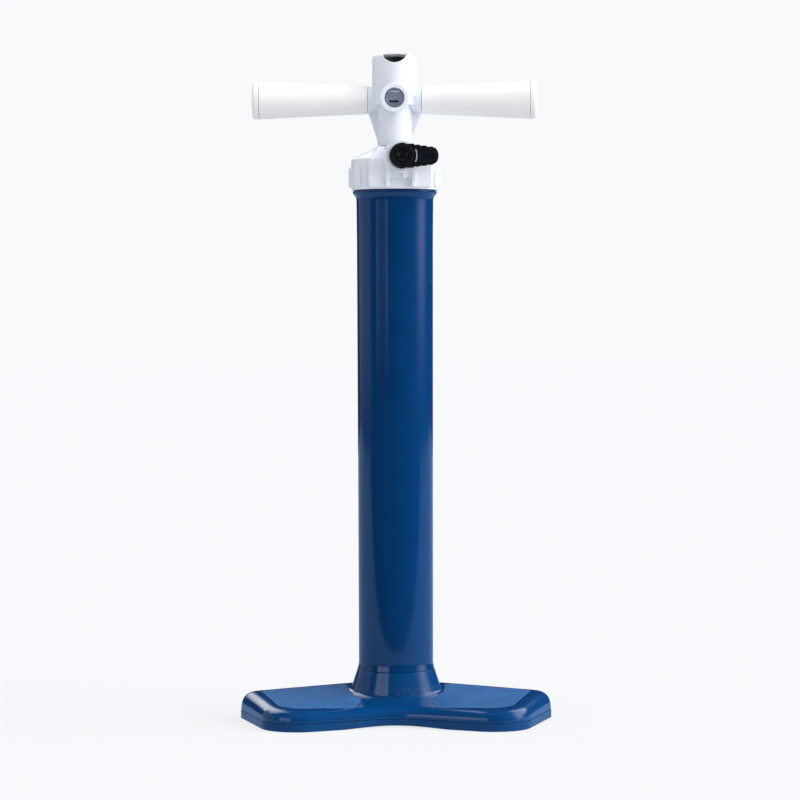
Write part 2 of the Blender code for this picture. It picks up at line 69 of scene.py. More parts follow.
def middle(node):
    low, high = extent(node)
    return (low + high) / 2


# ---------------------------------------------------------------- mesh helpers


def rounded(points, radius, closed, steps=4):
    """A line of (r, z) or (r, z, own radius) points with each corner rounded."""
    found = []
    count = len(points)
    for i, point in enumerate(points):
        own = point[2] if len(point) > 2 else radius
        corner = Vector(point[:2])
        if own == 0 or (not closed and i in (0, count - 1)):
            found.append(corner)
            continue
        before = Vector(points[i - 1][:2]) - corner
        after = Vector(points[(i + 1) % count][:2]) - corner
        reach = min(own, before.length * 0.48, after.length * 0.48)
        start = corner + before.normalized() * reach
        end = corner + after.normalized() * reach
        for k in range(steps + 1):
            share = k / steps
            found.append(start.lerp(corner, share).lerp(corner.lerp(end, share), share))
    return found


def lathe(profile, edge=0.5, segments=96):
    """A closed form spun about Z. It is solid if the profile's ends are on the axis, else it is a ring."""
    ring = profile[0][0] > 0 or profile[-1][0] > 0
    bm = bmesh.new()
    loops = []
    for r, z in rounded(profile, edge, ring):
        if r < 1e-6:
            loops.append([bm.verts.new((0, 0, z * MM))])
            continue
        turn = [2 * pi * i / segments for i in range(segments)]
        loops.append([bm.verts.new((r * cos(a) * MM, r * sin(a) * MM, z * MM)) for a in turn])
    for lower, upper in zip(loops, loops[1:] + (loops[:1] if ring else [])):
        for i in range(segments):
            quad = [lower[i % len(lower)], lower[(i + 1) % len(lower)]]
            quad += [upper[(i + 1) % len(upper)], upper[i % len(upper)]]
            corners = list(dict.fromkeys(quad))
            if len(corners) > 2:
                bm.faces.new(corners)
    bmesh.ops.recalc_face_normals(bm, faces=bm.faces)
    return bm


def rod(radius, low, high, edge=0.3, segments=64):
    return lathe([(0, low), (radius, low), (radius, high), (0, high)], edge, segments)


def extrusion(outline, low, high):
    bm = bmesh.new()
    rings = [[bm.verts.new((x * MM, y * MM, z * MM)) for x, y in outline] for z in (low, high)]
    bm.faces.new(rings[0])
    bm.faces.new(rings[1])
    for i in range(len(outline)):
        bm.faces.new((rings[0][i - 1], rings[0][i], rings[1][i], rings[1][i - 1]))
    bmesh.ops.recalc_face_normals(bm, faces=bm.faces)
    return bm


def hull(points):
    bm = bmesh.new()
    for point in points:
        bm.verts.new(Vector(point) * MM)
    bmesh.ops.convex_hull(bm, input=bm.verts)
    bmesh.ops.recalc_face_normals(bm, faces=bm.faces)
    return bm


def block(low, high):
    """A square block between two opposite corners."""
    return hull([(x, y, z) for x in (low[0], high[0]) for y in (low[1], high[1]) for z in (low[2], high[2])])


def arc(radius, first, last, step):
    """Points round a circle about the origin, from one angle in degrees up to another, which is left out."""
    return [(radius * cos(radians(a)), radius * sin(radians(a))) for a in range(first, last, step)]


def spun(degrees):
    return Matrix.Rotation(radians(degrees), 4, "Z")


def to_object(name, bm, place=SQUARE):
    mesh = bpy.data.meshes.new(name)
    bm.to_mesh(mesh)
    bm.free()
    mesh.transform(place)
    obj = bpy.data.objects.new(name, mesh)
    bpy.context.scene.collection.objects.link(obj)
    return obj


def settle(obj):
    """Makes the shape that the object's modifiers give its own mesh."""
    graph = bpy.context.evaluated_depsgraph_get()
    mesh = bpy.data.meshes.new_from_object(obj.evaluated_get(graph))
    obj.modifiers.clear()
    obj.data = mesh


def combine(obj, bm, operation, place=SQUARE):
    other = to_object("cutter", bm, place)
    modifier = obj.modifiers.new("Combine", "BOOLEAN")
    modifier.operation = operation
    modifier.solver = "MANIFOLD"
    modifier.object = other
    settle(obj)
    bpy.data.objects.remove(other)


def join(obj, bm, place=SQUARE):
    combine(obj, bm, "UNION", place)


def cut(obj, bm, place=SQUARE):
    combine(obj, bm, "DIFFERENCE", place)


def mould(obj, voxel, smoothing, keep):
    """Rounds every edge and fills every inner corner a little, as an injection mould does."""
    remesh = obj.modifiers.new("Remesh", "REMESH")
    remesh.mode = "VOXEL"
    remesh.voxel_size = voxel * MM
    smooth = obj.modifiers.new("Smooth", "SMOOTH")
    smooth.factor = 0.5
    smooth.iterations = smoothing
    settle(obj)
    decimate = obj.modifiers.new("Decimate", "DECIMATE")
    decimate.ratio = keep
    settle(obj)


def finish(obj, material, body, replaced=(), crease=40, flatness=80):
    """Gives a piece its shading and material, and fixes it to its body."""
    obj.data.materials.clear()
    obj.data.materials.append(material)
    obj.data.shade_smooth()
    obj.data.set_sharp_from_angle(angle=radians(crease))
    if flatness:
        flatten = obj.modifiers.new("Flatten", "WEIGHTED_NORMAL")
        flatten.keep_sharp = True
        flatten.weight = flatness
        settle(obj)
    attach(obj, body)
    if replaced:
        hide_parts(*replaced)
    return obj


# ---------------------------------------------------------------- materials


class Nodes:
    """Short calls for building one node tree."""

    def __init__(self, tree):
        self.tree = tree

    def add(self, kind, **settings):
        node = self.tree.nodes.new(kind)
        for key, value in settings.items():
            setattr(node, key, value)
        return node

    def link(self, source, target):
        self.tree.links.new(source, target)

    def feed(self, socket, value):
        if isinstance(value, bpy.types.NodeSocket):
            self.link(value, socket)
        else:
            socket.default_value = value

    def math(self, operation, first, second=0.0, third=0.0):
        node = self.add("ShaderNodeMath", operation=operation)
        for socket, value in zip(node.inputs, (first, second, third)):
            self.feed(socket, value)
        return node.outputs[0]

    def ramp(self, value, low, high, to_low=0.0, to_high=1.0):
        node = self.add("ShaderNodeMapRange", interpolation_type="SMOOTHSTEP")
        for socket, given in zip(node.inputs, (value, low, high, to_low, to_high)):
            self.feed(socket, given)
        return node.outputs[0]

    def noise(self, scale, detail=2.0, stretch=(1, 1, 1), roughness=0.5):
        coordinates = self.add("ShaderNodeTexCoord")
        mapping = self.add("ShaderNodeMapping")
        mapping.inputs["Scale"].default_value = stretch
        self.link(coordinates.outputs["Object"], mapping.inputs["Vector"])
        node = self.add("ShaderNodeTexNoise")
        node.inputs["Scale"].default_value = scale
        node.inputs["Detail"].default_value = detail
        node.inputs["Roughness"].default_value = roughness
        self.link(mapping.outputs[0], node.inputs["Vector"])
        return node.outputs[0]

    def mix(self, factor, first, second):
        node = self.add("ShaderNodeMix", data_type="RGBA")
        self.feed(node.inputs[0], factor)
        self.feed(node.inputs[6], first)
        self.feed(node.inputs[7], second)
        return node.outputs[2]

    def bump(self, height, depth, below=None):
        node = self.add("ShaderNodeBump")
        node.inputs["Distance"].default_value = depth * MM
        self.link(height, node.inputs["Height"])
        if below:
            self.link(below, node.inputs["Normal"])
        return node.outputs[0]


def shaded(colour, factor):
    return (*[min(1.0, part * factor) for part in colour], 1.0)


RUBBED_COLOUR = 0.85
RUBBED_SHARE = 0.35  # how far a rubbed edge goes from the piece's own colour to RUBBED_COLOUR
SCUFF_STRETCH = (1, 1, 0.05)


def surface(
    name, colour, roughness, mottle=0.05, grain=(1200, 0.004), ripple=None, wear=0.25, streak=(1, 1, 1), **own
):
    """A worn solid finish: mottled colour, uneven gloss, moulded grain, soft ripples and paler rubbed edges.

    The grain is a noise scale and a depth in millimetres. The ripple is the same and a stretch. Any further
    values go to the shader's own sockets.
    """
    material = bpy.data.materials.new(name)
    material.use_nodes = True
    nodes = Nodes(material.node_tree)
    shader = material.node_tree.nodes["Principled BSDF"]
    cloud = nodes.ramp(nodes.noise(38, 3), 0.3, 0.7)
    base = nodes.mix(cloud, shaded(colour, 1 - mottle), shaded(colour, 1 + mottle))
    pointiness = nodes.add("ShaderNodeNewGeometry").outputs["Pointiness"]
    patchy = nodes.ramp(nodes.noise(260, 3), 0.4, 0.75)
    rubbed = nodes.math("MULTIPLY", nodes.ramp(pointiness, 0.53, 0.62), patchy)
    rubbed = nodes.math("MULTIPLY", rubbed, wear)
    paler = (*[part + (RUBBED_COLOUR - part) * RUBBED_SHARE for part in colour], 1.0)
    nodes.link(nodes.mix(rubbed, base, paler), shader.inputs["Base Color"])
    smear = nodes.ramp(nodes.noise(95, 4, streak), 0.3, 0.75, roughness * 0.82, roughness * 1.25)
    scuff = nodes.ramp(nodes.noise(700, 2, SCUFF_STRETCH), 0.66, 0.8, 0.0, 0.08)
    nodes.link(nodes.math("ADD", smear, scuff), shader.inputs["Roughness"])
    normal = nodes.bump(nodes.noise(grain[0], 2, streak), grain[1])
    if ripple:
        normal = nodes.bump(nodes.noise(ripple[0], 1.5, ripple[2]), ripple[1], normal)
    nodes.link(normal, shader.inputs["Normal"])
    for socket, value in own.items():
        shader.inputs[socket.replace("_", " ")].default_value = value
    return material


BLUE = (0.0007, 0.031, 0.117)
FOOT_BLUE = (0.0008, 0.04, 0.145)
TREAD_BLUE = (0.008, 0.095, 0.29)
TRAY_BLUE = (0.001, 0.04, 0.14)
WHITE = (0.73, 0.76, 0.84)
ALUMINIUM = (0.7, 0.71, 0.73)
BRASS = (0.7, 0.5, 0.2)
CLEAR = (0.93, 0.95, 0.97)


def make_materials():
    upright = (1, 1, 0.1)
    drawn = (1, 1, 0.03)
    turned = (1, 1, 14)
    even = (1, 1, 1)
    fine = (900, 0.004)
    barrel_ripple = (75, 0.05, upright)
    foot_ripple = (45, 0.015, even)
    return {
        "barrel": surface("barrel_blue", BLUE, 0.07, 0.04, (900, 0.0004), barrel_ripple, wear=0.05),
        "foot": surface("foot_blue", FOOT_BLUE, 0.12, 0.05, (900, 0.0006), foot_ripple, wear=0.05),
        "tread": surface("tread_blue", TREAD_BLUE, 0.6, 0.09, (800, 0.3), wear=0.1, Specular_IOR_Level=0.3),
        "tray": surface("tray_blue", TRAY_BLUE, 0.22, 0.05, (900, 0.001), wear=0.05, Specular_IOR_Level=0.25),
        "cap": surface("cap_white", WHITE, 0.28, 0.008, (1500, 0.002), wear=0.06),
        "hub": surface("hub_white", WHITE, 0.3, 0.008, (1500, 0.002), wear=0.06),
        "grip": surface("grip_soft_white", (0.8, 0.8, 0.795), 0.5, 0.01, (1700, 0.008)),
        "black": surface("black_moulding", (0.0045, 0.005, 0.0075), 0.33, 0.15, (1600, 0.006), wear=0.12),
        # Grey for the inner mouldings; it also paints the lever's highlight arc and the shade on the port's
        # back wall
        "grey": surface("grey_moulding_and_painted_light", (0.3, 0.34, 0.45), 0.38, 0.06, (1500, 0.006)),
        "dial": surface("dial_print_white", (0.8, 0.8, 0.78), 0.5, 0.02, (2500, 0.002), wear=0),
        "ink": surface("dial_ink", (0.01, 0.01, 0.012), 0.5, 0.1, (2500, 0.002), wear=0),
        "bolt": surface("blackened_steel", (0.2, 0.2, 0.21), 0.3, 0.1, fine, wear=0.3, Metallic=1.0),
        "rubber": surface("black_rubber", (0.012, 0.012, 0.012), 0.7, 0.2, (1400, 0.02), wear=0.3),
        "steel": surface("zinc_steel", (0.58, 0.58, 0.6), 0.3, 0.06, fine, wear=0.2, Metallic=0.6),
        "rod": surface("drawn_aluminium", ALUMINIUM, 0.34, 0.03, fine, wear=0.2, streak=drawn, Metallic=0.4),
        "brass": surface(
            "turned_brass", BRASS, 0.3, 0.06, (900, 0.006), wear=0.2, streak=turned, Metallic=1.0
        ),
        "lens": surface(
            "clear_lens", CLEAR, 0.04, 0.01, (400, 0.001), wear=0, Transmission_Weight=0.88, IOR=1.46
        ),
    }


# ---------------------------------------------------------------- foot

SKIRT_TOP = extent("base_plate")[1].z
SHOULDER = 15.5  # how far in from its outline the foot's top face begins
SHOULDER_POWER = 0.75  # 1 would be a quarter ellipse, less is fuller
SHELL_BOTTOM = SKIRT_TOP + GAP
# The top face's height at its front line and its rise backwards, which is less further out from the barrel
TOP_FRONT_HEIGHT = 18.6
TOP_SLOPE = 0.113
TOP_SLOPE_LOSS = 0.0005
TOP_FRONT_LINE = 60
TOP_FRONT_SWEEP = 0.4527
TOP_CREST = 12
# Outline of the foot from above: each corner and the radius that rounds it
FOOT_CORNERS = [
    ((108.9, -119.8), 34),
    ((146.5, 0.5), 17),
    ((0, 49), 50),
    ((-146.5, 0.5), 17),
    ((-108.9, -119.8), 34),
    ((0, -70.5), 50),
]
SCREW_PLACES = [middle(f"base_screw_{number}").to_2d() for number in range(1, 5)]


def corner_points(before, corner, after, radius, steps):
    """Points round one corner of a plan, each with its inward normal."""
    to_before = (before - corner).normalized()
    to_after = (after - corner).normalized()
    half = to_before.angle(to_after) / 2
    centre = corner + (to_before + to_after).normalized() * (radius / sin(half))
    convex = to_after.cross(to_before) > 0
    start = corner + to_before * (radius / tan(half)) - centre
    end = corner + to_after * (radius / tan(half)) - centre
    sweep = start.angle_signed(end)
    found = []
    for step in range(steps + 1):
        spoke = Matrix.Rotation(-sweep * step / steps, 2) @ start
        inward = -spoke.normalized() if convex else spoke.normalized()
        found.append((centre + spoke, inward))
    return found


def plan_of(corners, steps=14, spacing=5):
    """An outline with rounded corners as (point, inward normal) pairs, evenly spaced along straight edges."""
    points = [Vector(corner) for corner, _ in corners]
    count = len(points)
    rounds = [
        corner_points(points[i - 1], points[i], points[(i + 1) % count], radius, steps)
        for i, (_, radius) in enumerate(corners)
    ]
    plan = []
    for i in range(count):
        plan += rounds[i]
        (start, inward), (end, _) = rounds[i][-1], rounds[(i + 1) % count][0]
        parts = max(1, ceil((end - start).length / spacing))
        plan += [(start.lerp(end, part / parts), inward) for part in range(1, parts)]
    return plan


def inset(plan, distance):
    return [point + inward * distance for point, inward in plan]


def foot_top(x, y):
    """Height of the foot's upper face: level along its front line, rising backwards, most at the barrel."""
    out = hypot(x, TOP_CREST) - TOP_CREST
    slope = TOP_SLOPE - TOP_SLOPE_LOSS * out
    return TOP_FRONT_HEIGHT + slope * (y + TOP_FRONT_LINE + TOP_FRONT_SWEEP * out)


def edge_distance(outline, x, y):
    here = Vector((x, y))
    nearest = 1e9
    for a, b in zip(outline, outline[1:] + outline[:1]):
        along = b - a
        share = max(0.0, min(1.0, (here - a).dot(along) / along.length_squared))
        nearest = min(nearest, (here - a - along * share).length)
    return nearest


def inside(outline, x, y):
    found = False
    for a, b in zip(outline, outline[1:] + outline[:1]):
        if (a.y > y) != (b.y > y) and x < a.x + (y - a.y) * (b.x - a.x) / (b.y - a.y):
            found = not found
    return found


FOOT_PLAN = plan_of(FOOT_CORNERS)
FOOT_OUTLINE = inset(FOOT_PLAN, 0)


def foot_height(x, y):
    """Height of the shell's surface, with its rounded shoulder."""
    short = 1 - min(1.0, edge_distance(FOOT_OUTLINE, x, y) / SHOULDER)
    rise = max(0.0, 1 - short ** (2 / SHOULDER_POWER)) ** (SHOULDER_POWER / 2)
    return SHELL_BOTTOM + (foot_top(x, y) - SHELL_BOTTOM) * rise


def filled(bm, rim, height, spacing):
    """Closes a loop of vertices with an even net of faces that follows the height function."""
    flat = [Vector((vert.co.x, vert.co.y)) / MM for vert in rim]
    xs = [point.x for point in flat]
    ys = [point.y for point in flat]
    net = []
    for i in range(int((max(xs) - min(xs)) / spacing)):
        for j in range(int((max(ys) - min(ys)) / spacing)):
            x = min(xs) + (i + 0.5) * spacing
            y = min(ys) + (j + 0.5) * spacing
            if inside(flat, x, y) and edge_distance(flat, x, y) > spacing * 0.6:
                net.append(Vector((x, y)))
    edges = [(i, (i + 1) % len(flat)) for i in range(len(flat))]
    points, _, faces, *_ = delaunay_2d_cdt(flat + net, edges, [], 1, 1e-5)
    verts = [bm.verts.new(Vector((p.x, p.y, height(p.x, p.y))) * MM) for p in points]
    for face in faces:
        bm.faces.new([verts[i] for i in face])
    bmesh.ops.remove_doubles(bm, verts=bm.verts, dist=2e-6)


def stacked(loops):
    """A bmesh with walls between loops of (x, y, z) points, and its loops of vertices."""
    bm = bmesh.new()
    rings = [[bm.verts.new(Vector(point) * MM) for point in loop] for loop in loops]
    for lower, upper in zip(rings, rings[1:]):
        for i in range(len(lower)):
            bm.faces.new((lower[i - 1], lower[i], upper[i], upper[i - 1]))
    return bm, rings


def foot_body():
    steps = 16
    loops = []
    for k in range(steps + 1):
        angle = pi / 2 * k / steps
        across = max(0.0, cos(angle)) ** SHOULDER_POWER
        rise = sin(angle) ** SHOULDER_POWER
        loop = []
        for x, y in inset(FOOT_PLAN, SHOULDER * (1 - across)):
            loop.append((x, y, SHELL_BOTTOM + (foot_top(x, y) - SHELL_BOTTOM) * rise))
        loops.append(loop)
    bm, rings = stacked(loops)
    bm.faces.new(rings[0])
    filled(bm, rings[-1], foot_top, 6)
    bmesh.ops.recalc_face_normals(bm, faces=bm.faces)
    return bm


COLLAR_TOP = extent("base_shell")[1].z
# Radius and height of the collar's cone at its foot and at its waist
COLLAR_LINE = [(43.4, 20.5), (38.6, 35.0)]
COLLAR_BORE_R = 33.2
COLLAR_MOUTH_R = 35.6
COLLAR_ROOT = 12  # the collar starts inside the foot
SOCKET_FLOOR = 17.7
SKIN = 0.02  # an overlap that keeps two joined shapes from sharing a face


def collar_radius(z):
    (low_r, low_z), (high_r, high_z) = COLLAR_LINE
    return low_r + (z - low_z) * (high_r - low_r) / (high_z - low_z)


def collar_fillet(reach=3.2, steps=6, segments=144):
    """The hollow bead where the collar runs out into the foot, as one closed band round the barrel."""
    bm = bmesh.new()
    bands = []
    for i in range(segments):
        angle = 2 * pi * i / segments
        spoke = Vector((cos(angle), sin(angle)))
        height = 25.0
        for _ in range(12):
            radius = collar_radius(height)
            height = foot_height(*(spoke * radius))
        outer = spoke * (radius + reach)
        if not inside(FOOT_OUTLINE, *outer):
            outer = spoke * (radius + GAP)
        foot = Vector((*outer, foot_height(*outer) + SKIN))
        knee = Vector((*(spoke * radius), height))
        rise = Vector((*(spoke * (collar_radius(height + reach) + SKIN)), height + reach))
        band = []
        for k in range(steps + 1):
            share = k / steps
            band.append(rise.lerp(knee, share).lerp(knee.lerp(foot, share), share))
        band.append(Vector((*(spoke * (radius - 1)), height - 2)))
        bands.append([bm.verts.new(point * MM) for point in band])
    for first, second in zip(bands, bands[1:] + bands[:1]):
        for k in range(len(first)):
            bm.faces.new((first[k - 1], first[k], second[k], second[k - 1]))
    bmesh.ops.recalc_face_normals(bm, faces=bm.faces)
    return bm


def make_foot(materials):
    shell = to_object("foot_shell", foot_body())
    root, waist = COLLAR_LINE
    collar = [
        (COLLAR_BORE_R, COLLAR_TOP),
        (COLLAR_MOUTH_R, COLLAR_TOP, 0.4),
        (*waist, 6),
        root,
        (root[0], COLLAR_ROOT),
        (COLLAR_BORE_R, COLLAR_ROOT),
    ]
    join(shell, lathe(collar, 0.2, 144))
    cut(shell, rod(COLLAR_BORE_R, SOCKET_FLOOR, 60, 0.1, 144))
    join(shell, collar_fillet())
    finish(shell, materials["foot"], "barrel", ["base_shell"], 50)
    make_treads(materials["tread"])
    make_tray(materials["tray"])


TREAD_LIFT = 0.34
# Outline of the left-hand pad from above, as for the foot
TREAD_CORNERS = [
    ((-46, 15), 4),
    ((-45, -14), 18),
    ((-32, -52), 7),
    ((-38, -79), 6),
    ((-101, -94), 20),
    ((-124, -9), 9),
]


def make_treads(material):
    """Grained pads let into the two wings of the foot."""
    for side, name in ((1, "tread_left"), (-1, "tread_right")):
        corners = [((x * side, y), radius) for (x, y), radius in TREAD_CORNERS]
        plan = plan_of(corners if side > 0 else corners[::-1], 8, 4)
        loops = []
        for distance, lift in ((0, -0.6), (0, 0.02), (0.3, 0.22), (0.9, TREAD_LIFT)):
            loops.append([(x, y, foot_height(x, y) + lift) for x, y in inset(plan, distance)])
        bm, rings = stacked(loops)
        bm.faces.new(rings[0])
        filled(bm, rings[-1], lambda x, y: foot_height(x, y) + TREAD_LIFT, 3.5)
        bmesh.ops.recalc_face_normals(bm, faces=bm.faces)
        finish(to_object(name, bm), material, "barrel")


ARCH_RISE = 1.5
ARCH_HALF = 45
ARCH_BACK = -50  # the arch is only in front of this line
ARCH_MARGIN = 10
ARCH_RUN_OUT = 8  # past the margin, the underside rises to the arch over this length
TRAY_MIDDLE = 3
# How far in from the foot's outline the tray's wall is, at each height
TRAY_WALL = ((0.3, 0.0), (-0.2, 0.25), (-0.38, 0.8), (-0.38, 6.6), (-0.3, 7.2), (0.3, 7.5))


def make_tray(material):
    """The tray under the foot, with a shallow arch in the middle of its front edge."""

    def arch(x, y):
        return ARCH_RISE * max(0.0, 1 - (x / ARCH_HALF) ** 2) if y < ARCH_BACK else 0.0

    def underside(x, y):
        return arch(x, y) * max(0.0, min(1.0, (ARCH_BACK - ARCH_MARGIN - y) / ARCH_RUN_OUT))

    loops = []
    for distance, z in TRAY_WALL:
        low = 1 if z < TRAY_MIDDLE else 0
        loops.append([(x, y, z + low * arch(x, y)) for x, y in inset(FOOT_PLAN, distance)])
    bm, rings = stacked(loops)
    bm.faces.new(rings[-1])
    filled(bm, rings[0], underside, 12)
    bmesh.ops.recalc_face_normals(bm, faces=bm.faces)
    tray = to_object("foot_tray", bm)
    for x, y in SCREW_PLACES:
        cut(tray, rod(4.2, -3, 3.2, 0.1, 40), at(x, y))
    finish(tray, material, "barrel", ["base_plate"], 45)


# ---------------------------------------------------------------- barrel


BARREL_BORE_R = 31
BARREL_THREAD_R = 35
BARREL_SPIGOT_R = 32.9  # the lower end, inside the foot's collar
# The barrel narrows a little downwards: its radius at a few heights
BARREL_TAPER = [(34.9, 440, 0), (34.7, 350, 0), (34.5, 250, 0), (34.35, 150, 0)]


def make_barrel(material):
    low, high = extent("barrel_tube")
    rim = high.x
    rim_top = extent("cap")[0].z - 0.7
    profile = [
        (BARREL_BORE_R, high.z),
        (BARREL_THREAD_R, high.z, 0.6),
        (BARREL_THREAD_R, rim_top + 0.1, 0.2),
        (rim, rim_top, 0.9),
        (rim, rim_top - 2.1, 1.2),
        (35.25, rim_top - 6.1, 2.5),
        *BARREL_TAPER,
        (34.2, COLLAR_TOP + 5.7, 1.5),
        (35.55, COLLAR_TOP + GAP, 0.3),
        (BARREL_SPIGOT_R, COLLAR_TOP + GAP, 0.2),
        (BARREL_SPIGOT_R, low.z, 0.6),
        (BARREL_BORE_R, low.z, 0.3),
    ]
    barrel = to_object("barrel", lathe(profile, 0.5, 192))
    finish(barrel, material, "barrel", ["barrel_tube"], 50)


# ---------------------------------------------------------------- cap and selector

LEVER_Z = middle("selector_screw").z
CAP_BOTTOM = extent("cap")[0].z
CAP_TOP = extent("hub")[0].z - 0.7
CAP_R = 39.8
CAP_HOLLOW_R = 35.4
LUG = ((-4, -42.3, 487), (4, -37, 504.5))
LUG_ANGLES = (-133, -97, -61, 61, 97, 133, 180)
# The valve box on the cap's front: a hipped block with a window, vent bars, and a parting groove on each side
BOX_HALF = 28.5
BOX_BOTTOM = 485.6
BOX_FACE = ((-13.6, -47, BOX_BOTTOM), (13.6, -41, 508))
WINDOW_UPPER = ((-10.2, -60, 494.5), (10.2, -45.2, 509))
WINDOW_LOWER = ((-10.2, -60, 480), (10.2, -41, 494.6))
VENT_HALF = 10.3
VENT_HEIGHTS = (499.6, 502.6, 505.4)
GROOVE_X = 28.9
BOSS_R = 14.5
ROD_HOLE_R = 12.0
ROD_BUSH_R = 13.2
BUSH_WALL_R = 16.8
SELECTOR_BORE_R = 6.3
AIR_DRILLING_R = 2.2


def make_cap(material):
    """The screw cap: a cone with grip lugs, and a valve box in front with the selector's boss."""
    shell = [
        (0, CAP_TOP),
        (16.6, CAP_TOP, 0.5),
        (17.2, CAP_TOP - 0.6, 0.5),
        (38.6, CAP_TOP - 10.8, 0.8),
        (CAP_R, CAP_TOP - 12.3, 0.8),
        (CAP_R, CAP_BOTTOM + 0.7, 0.3),
        (39.1, CAP_BOTTOM, 0.3),
        (0, CAP_BOTTOM),
    ]
    cap = to_object("cap_moulding", lathe(shell, 0.5, 160), CAP_FRAME)
    corners = [(side * BOX_HALF, y, z) for side in (-1, 1) for y in (-43, -20) for z in (BOX_BOTTOM, 510.8)]
    ridge = [(side * 17, y, 523.6) for side in (-1, 1) for y in (-17, -4)]
    join(cap, hull(corners + ridge), CAP_FRAME)
    for angle in LUG_ANGLES:
        join(cap, block(*LUG), CAP_FRAME @ spun(angle))
    join(cap, block(*BOX_FACE), CAP_FRAME)
    cut(cap, block(*WINDOW_UPPER), CAP_FRAME)
    cut(cap, block(*WINDOW_LOWER), CAP_FRAME)
    join(cap, rod(BOSS_R, 20, 50, 0.6, 96), CAP_FRAME @ at(z=LEVER_Z) @ FORWARD)
    join(cap, extrusion(capsule(1.7, 5), 43, 48.5), CAP_FRAME @ at(3, 0, 498) @ FORWARD)
    for z in VENT_HEIGHTS:
        join(cap, block((-VENT_HALF, -45.7, z - 0.3), (VENT_HALF, -45, z + 0.3)), CAP_FRAME)
    for side in (-1, 1):
        x = side * GROOVE_X
        cut(cap, block((x - 0.5, -46, 486), (x + 0.5, -26.5, 508)), CAP_FRAME)
    hollow = [
        (0, 480),
        (CAP_HOLLOW_R, 480),
        (CAP_HOLLOW_R, 505.6),
        (BUSH_WALL_R, 505.6),
        (BUSH_WALL_R, 498),
        (ROD_BUSH_R, 498),
        (ROD_BUSH_R, 519.5),
        (ROD_HOLE_R, 519.5),
        (ROD_HOLE_R, 527),
        (0, 527),
    ]
    cut(cap, lathe(hollow, 0.2, 128), CAP_FRAME)
    cut(cap, rod(AIR_DRILLING_R, 500, 532, 0.1, 32), CAP_FRAME @ at(0, -30))
    cut(cap, rod(SELECTOR_BORE_R, 22, 60, 0.1, 48), CAP_FRAME @ at(z=LEVER_Z) @ FORWARD)
    mould(cap, 0.3, 1, 0.45)
    finish(cap, material, "barrel", ["cap"], 60)


def capsule(radius, half):
    """A slot outline with round ends, upright in the plane."""
    found = []
    for end, first in ((half - radius, 0), (radius - half, pi)):
        angles = [first + pi * k / 8 for k in range(9)]
        found += [(radius * cos(a), end + radius * sin(a)) for a in angles]
    return found


LEVER_BACK = 50.6
LEVER_FACE = 59.2
LEVER_HEAD_R = 11.6
LEVER_WAVES = [(10.7, 10.7), (9.8, 16.0), (9.0, 22.2), (8.1, 28.1)]  # half width and end of each wave
LEVER_TIP = [(30.3, 6.6), (31.7, 4.5), (32.6, 2.0)]
RAISED = 60  # top of the ring and the border, measured from the barrel's axis
GLINT_ARC_R = (12.5, 13.3)  # inner and outer radius of the raised arc on the lever's head, pale grey as a painted highlight


def lever_outline():
    """A round head with an arm whose edges step down in four soft waves to a rounded tip."""
    edge = []
    start = 3.0
    for height, end in LEVER_WAVES:
        edge += [(start + 0.4, height - 0.25), ((start + end) / 2, height + 0.1)]
        edge += [(end - 0.5, height), (end, height - 0.6)]
        start = end
    edge += LEVER_TIP
    return mirrored(edge) + arc(LEVER_HEAD_R, 80, 281, 8)


def mirrored(edge):
    """An outline that goes along the lower edge and back along the upper one."""
    return [(x, -y) for x, y in edge] + edge[::-1]


def make_selector(materials):
    place = CAP_FRAME @ at(z=LEVER_Z) @ FORWARD
    lever = to_object("lever", extrusion(lever_outline(), LEVER_BACK, LEVER_FACE), place)
    join(lever, lathe([(9.0, 58), (9.0, RAISED), (10.1, RAISED), (10.1, 58)], 0.2, 64), place)
    border = [(14.4, 4.9), (17.0, 5.3), (28.5, 4.2), (30.0, 2.2)]
    border += [(x, -y) for x, y in border[::-1]]
    join(lever, extrusion(border, 58, RAISED), place)
    recess = [(16.2, 3.2), (27.2, 2.7), (28.3, 1.2)]
    recess += [(x, -y) for x, y in recess[::-1]]
    cut(lever, extrusion(recess, 59, 62), place)
    cut(lever, rod(5.6, 57, 62, 0.1, 48), place)
    cut(lever, rod(2.0, 48, 62, 0.1, 32), place)
    mould(lever, 0.22, 1, 0.3)
    finish(lever, materials["black"], "selector", ["selector_lever"], 60)
    # A thin raised ridge round the head: the ridge is real, but its pale grey is a painted highlight on its
    # edge
    band = arc(GLINT_ARC_R[0], -26, 27, 4) + arc(GLINT_ARC_R[1], 26, -27, -4)
    mark = to_object("lever_glint_arc", extrusion(band, 59, 59.9), place)
    finish(mark, materials["grey"], "selector")
    bolt = [(0, 58.9), (1.2, 59.2), (4.1, 59.0, 0.4), (4.7, 58.5, 0.4), (4.7, 57.3)]
    bolt += [(1.7, 57.3), (1.7, 42.5), (0, 42)]
    screw = to_object("selector_bolt", lathe(bolt, 0.2, 48), place)
    cross_recess(screw, 2.6, 0.55, 57.9, 62, place)
    finish(screw, materials["bolt"], "selector", ["selector_screw"])


def cross_recess(obj, reach, half, low, high, place):
    """The cross in a screw's head, turned to an angle that looks driven home."""
    for angle in (38, 128):
        cut(obj, block((-reach, -half, low), (reach, half, high)), place @ spun(angle))


# ---------------------------------------------------------------- handle

